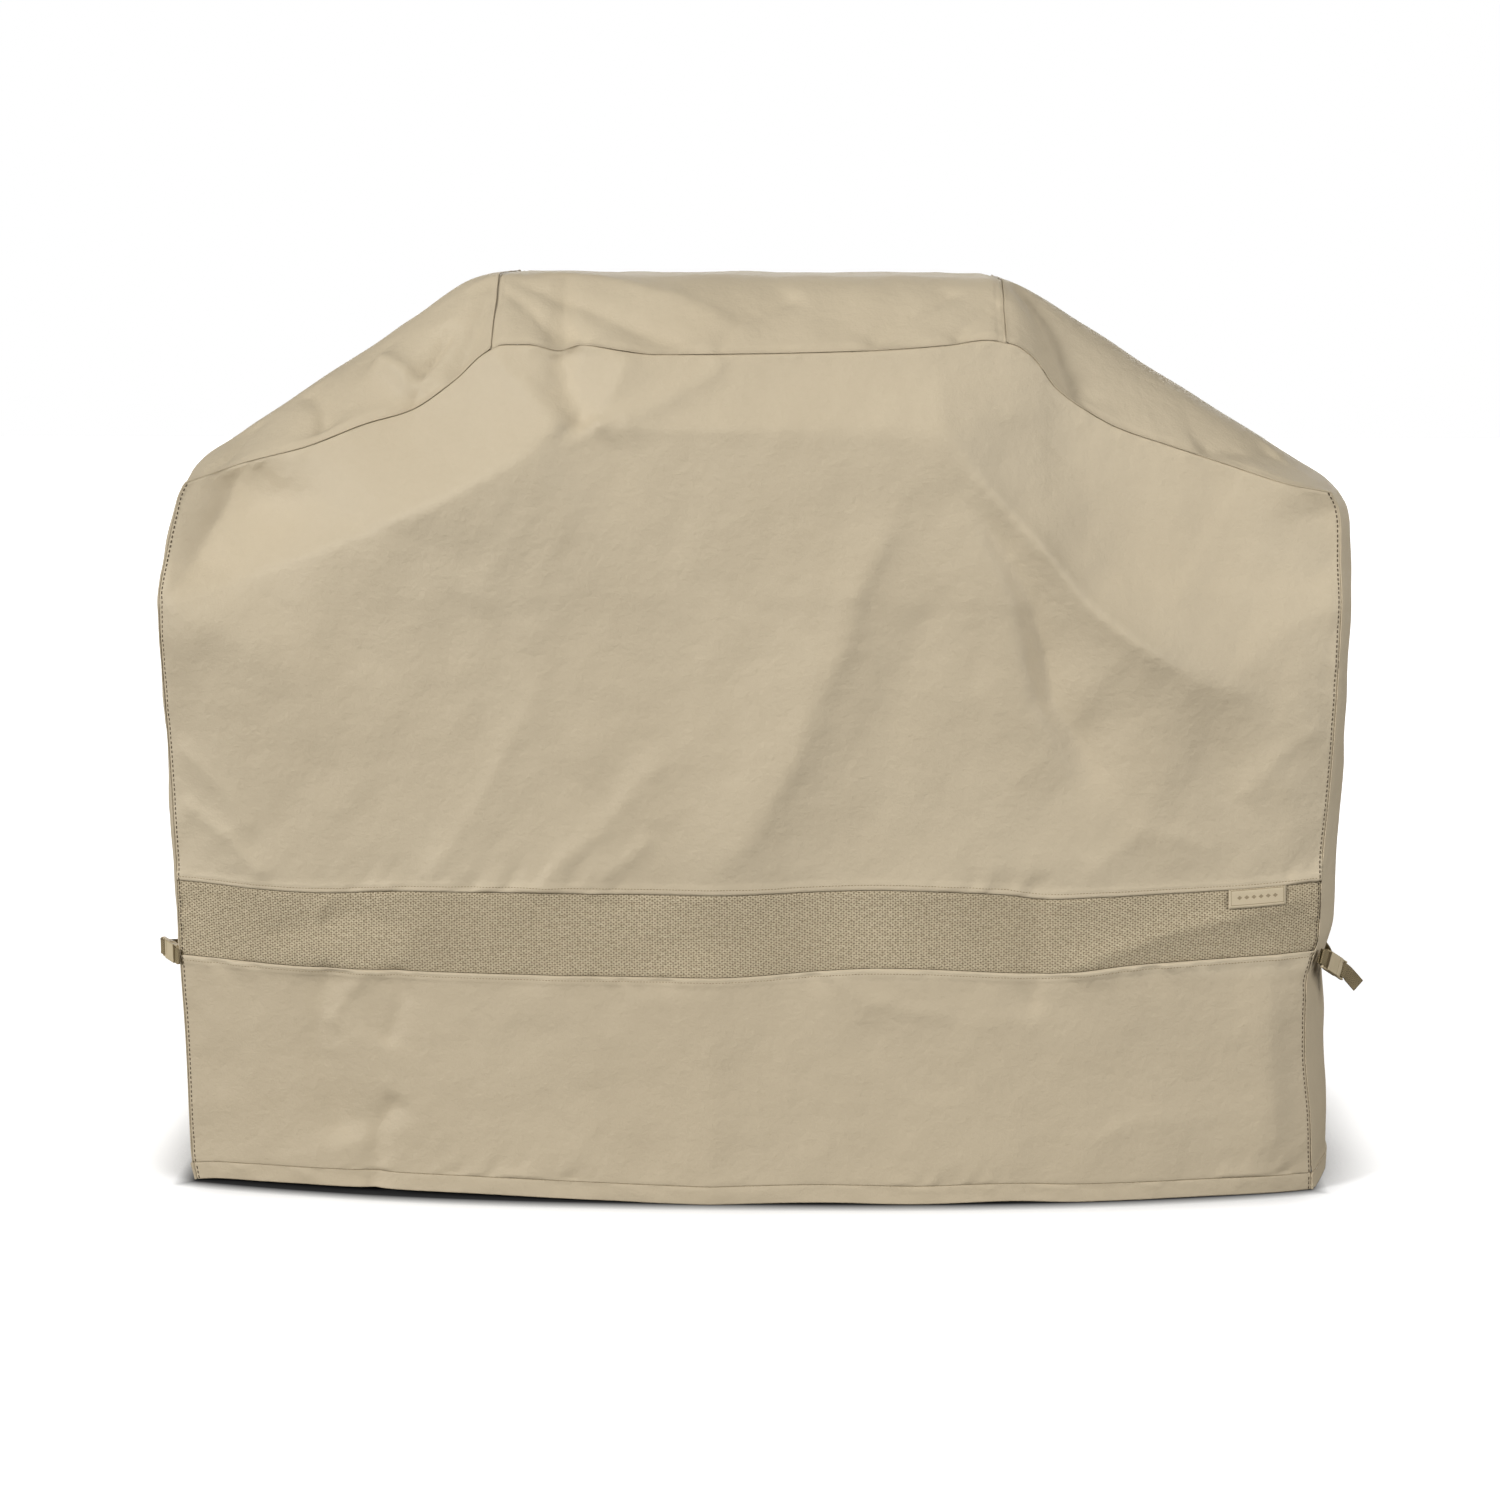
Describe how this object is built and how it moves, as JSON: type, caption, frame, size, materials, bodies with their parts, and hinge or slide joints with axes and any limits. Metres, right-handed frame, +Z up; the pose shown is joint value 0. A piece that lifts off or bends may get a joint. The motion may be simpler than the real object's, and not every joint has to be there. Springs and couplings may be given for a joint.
{
  "type": "grill cover",
  "caption": "Sewn fabric cover for a free-standing grill, with a level top, sloping shoulders, a mesh vent band front and back, a stitched hem and a buckled cinch strap on each side.",
  "frame": {"origin": "on the ground under the middle of the cover", "axes": "+Z up, -Y towards the front with the label, +X to the right of a person facing the front"},
  "size_m": [1.6125, 0.7488, 1.216],
  "materials": {
    "cover_fabric": "plain-woven coated polyester, matte with a faint sheen",
    "vent_mesh": "coarse open-weave polyester mesh",
    "webbing": "flat woven strap",
    "buckle_plastic": "moulded acetal, fine matte",
    "label_weave": "damask-woven tape, blank"
  },
  "bodies": {
    "root": {"front_panel": "cover_fabric", "front_vent_mesh": "vent_mesh", "front_skirt": "cover_fabric", "front_hem": "cover_fabric", "back_panel": "cover_fabric", "back_vent_mesh": "vent_mesh", "back_skirt": "cover_fabric", "back_hem": "cover_fabric", "top_panel": "cover_fabric", "left_gusset": "cover_fabric", "right_gusset": "cover_fabric", "left_hem": "cover_fabric", "right_hem": "cover_fabric", "woven_label": "label_weave", "left_front_web": "webbing", "left_buckle_socket": "buckle_plastic", "left_rear_web": "webbing", "right_front_web": "webbing", "right_buckle_socket": "buckle_plastic", "right_rear_web": "webbing"},
    "left_plug": {"left_buckle_plug": "buckle_plastic", "left_strap_tail": "webbing"},
    "left_upper_prong": {"left_upper_prong": "buckle_plastic"},
    "left_lower_prong": {"left_lower_prong": "buckle_plastic"},
    "right_plug": {"right_buckle_plug": "buckle_plastic", "right_strap_tail": "webbing"},
    "right_upper_prong": {"right_upper_prong": "buckle_plastic"},
    "right_lower_prong": {"right_lower_prong": "buckle_plastic"}
  },
  "joints": [
    {"name": "left_buckle_release", "type": "slide", "parent": "root", "child": "left_plug", "axis": [-0.5, 0.866, 0], "range_m": [0, 0.03], "deforming": ["left_rear_web", "left_upper_prong", "left_lower_prong"]},
    {"name": "left_upper_prong_squeeze", "type": "hinge", "parent": "left_plug", "child": "left_upper_prong", "pos_m": [-0.78416, -0.25856, 0.3186], "axis": [-0.866, -0.5, 0], "range_deg": [-9, 0], "stiffness_Nm_per_rad": 0.3},
    {"name": "left_lower_prong_squeeze", "type": "hinge", "parent": "left_plug", "child": "left_lower_prong", "pos_m": [-0.78416, -0.25856, 0.3054], "axis": [-0.866, -0.5, 0], "range_deg": [0, 9], "stiffness_Nm_per_rad": 0.3},
    {"name": "right_buckle_release", "type": "slide", "parent": "root", "child": "right_plug", "axis": [0.5514, 0.7018, -0.4511], "range_m": [0, 0.03], "deforming": ["right_rear_web", "right_upper_prong", "right_lower_prong"]},
    {"name": "right_upper_prong_squeeze", "type": "hinge", "parent": "right_plug", "child": "right_upper_prong", "pos_m": [0.78823, -0.26459, 0.30597], "axis": [0.7863, -0.6178, 0], "range_deg": [0, 9], "stiffness_Nm_per_rad": 0.3},
    {"name": "right_lower_prong_squeeze", "type": "hinge", "parent": "right_plug", "child": "right_lower_prong", "pos_m": [0.78455, -0.26927, 0.29418], "axis": [0.7863, -0.6178, 0], "range_deg": [-9, 0], "stiffness_Nm_per_rad": 0.3}
  ],
  "couplings": [
    {"joint": "left_lower_prong_squeeze", "follows": "left_upper_prong_squeeze", "ratio": -1},
    {"joint": "right_lower_prong_squeeze", "follows": "right_upper_prong_squeeze", "ratio": -1}
  ]
}
